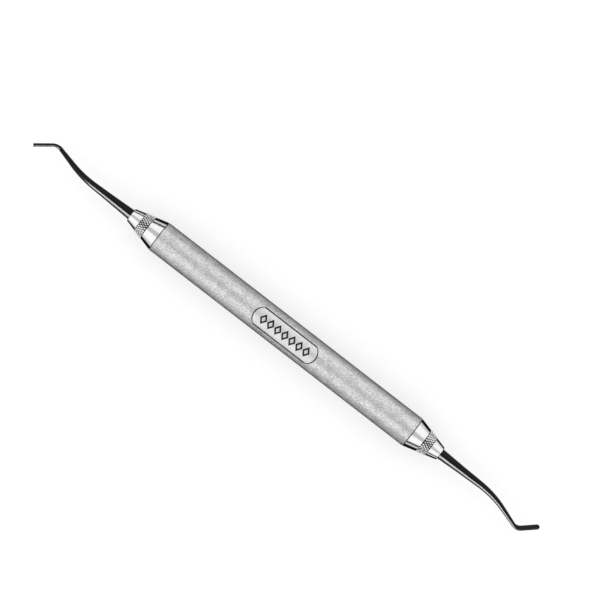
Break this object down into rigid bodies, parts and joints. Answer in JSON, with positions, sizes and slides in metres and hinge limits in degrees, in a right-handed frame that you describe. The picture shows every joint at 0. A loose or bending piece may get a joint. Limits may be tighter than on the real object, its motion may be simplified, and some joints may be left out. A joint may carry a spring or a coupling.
{
  "type": "hand scaler",
  "caption": "Double-ended dental hand scaler: a hollow satin steel handle with a conical knurled socket screwed into each end, each holding a bent black-coated tip.",
  "frame": {"origin": "middle of the handle, on its axis", "axes": "+X along the handle towards the right tip, +Y across the handle in the plane in which both tips bend, +Z out of the side with the marked panel"},
  "size_m": [0.179, 0.0094, 0.0094],
  "materials": {
    "satin_steel": "fine bead-blasted satin stainless steel",
    "turned_steel": "turned stainless steel",
    "polished_steel": "polished stainless steel",
    "black_coating": "gloss black hard coating on steel",
    "seal_silicone": "matt dark silicone rubber"
  },
  "bodies": {
    "handle": {"handle_tube": "satin_steel", "left_end_bush": "turned_steel", "right_end_bush": "turned_steel"},
    "left_seal": {"left_seal_ring": "seal_silicone"},
    "left_tip_unit": {"left_cone_socket": "polished_steel", "left_tip": "black_coating"},
    "right_seal": {"right_seal_ring": "seal_silicone"},
    "right_tip_unit": {"right_cone_socket": "polished_steel", "right_tip": "black_coating"}
  },
  "joints": [
    {"name": "left_seal_travel", "type": "slide", "parent": "handle", "child": "left_seal", "axis": [-1, 0, 0], "range_m": [0, 0.0056]},
    {"name": "left_tip_unscrew", "type": "hinge", "parent": "left_seal", "child": "left_tip_unit", "pos_m": [-0.045, 0, 0], "axis": [-1, 0, 0], "range_deg": [0, 2521]},
    {"name": "right_seal_travel", "type": "slide", "parent": "handle", "child": "right_seal", "axis": [1, 0, 0], "range_m": [0, 0.0056]},
    {"name": "right_tip_unscrew", "type": "hinge", "parent": "right_seal", "child": "right_tip_unit", "pos_m": [0.045, 0, 0], "axis": [1, 0, 0], "range_deg": [0, 2521]}
  ],
  "couplings": [
    {"joint": "left_tip_unscrew", "follows": "left_seal_travel", "rad_per_m": 7854},
    {"joint": "right_tip_unscrew", "follows": "right_seal_travel", "rad_per_m": 7854}
  ]
}
